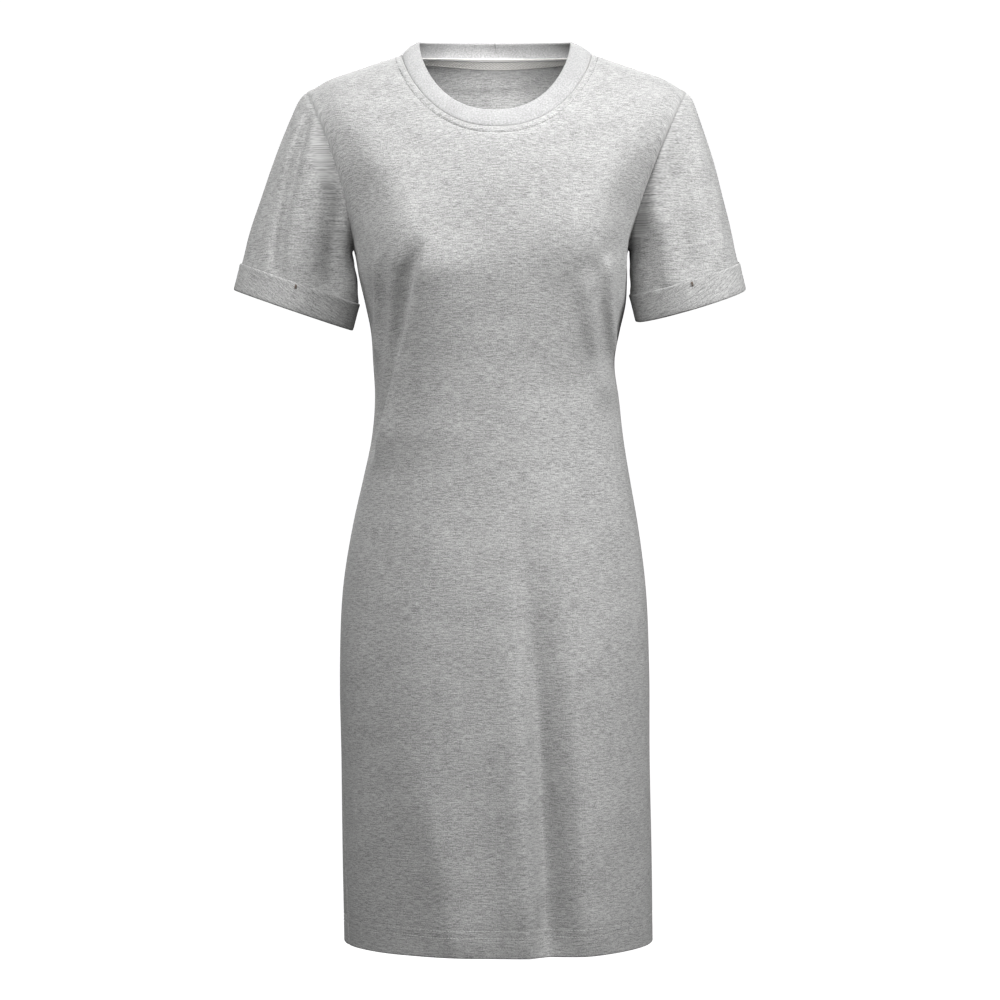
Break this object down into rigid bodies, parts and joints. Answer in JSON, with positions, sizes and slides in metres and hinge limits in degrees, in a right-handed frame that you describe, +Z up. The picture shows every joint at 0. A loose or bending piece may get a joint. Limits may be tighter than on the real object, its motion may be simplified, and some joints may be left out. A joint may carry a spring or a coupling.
{
  "type": "t-shirt dress",
  "caption": "Short-sleeved t-shirt dress in heather grey cotton jersey, with a crew neckband, turned-up cuffs and a stitched hem.",
  "frame": {"origin": "midway between the two neck points, where the shoulder seams meet the neckband, at the height where the shoulders carry the dress", "axes": "+Z up, -Y out of the front, +X to the right as seen from the front"},
  "size_m": [0.5111, 0.2545, 0.9036],
  "materials": {
    "jersey": "matt single jersey, heather grey",
    "rib": "matt fine rib, heather grey",
    "tape": "matt herringbone tape, light grey"
  },
  "bodies": {
    "root": {"front": "jersey", "back": "jersey", "sleeve_left": "jersey", "sleeve_right": "jersey", "cuff_left": "jersey", "cuff_right": "jersey", "neckband": "rib", "neck_tape": "tape"}
  },
  "joints": []
}
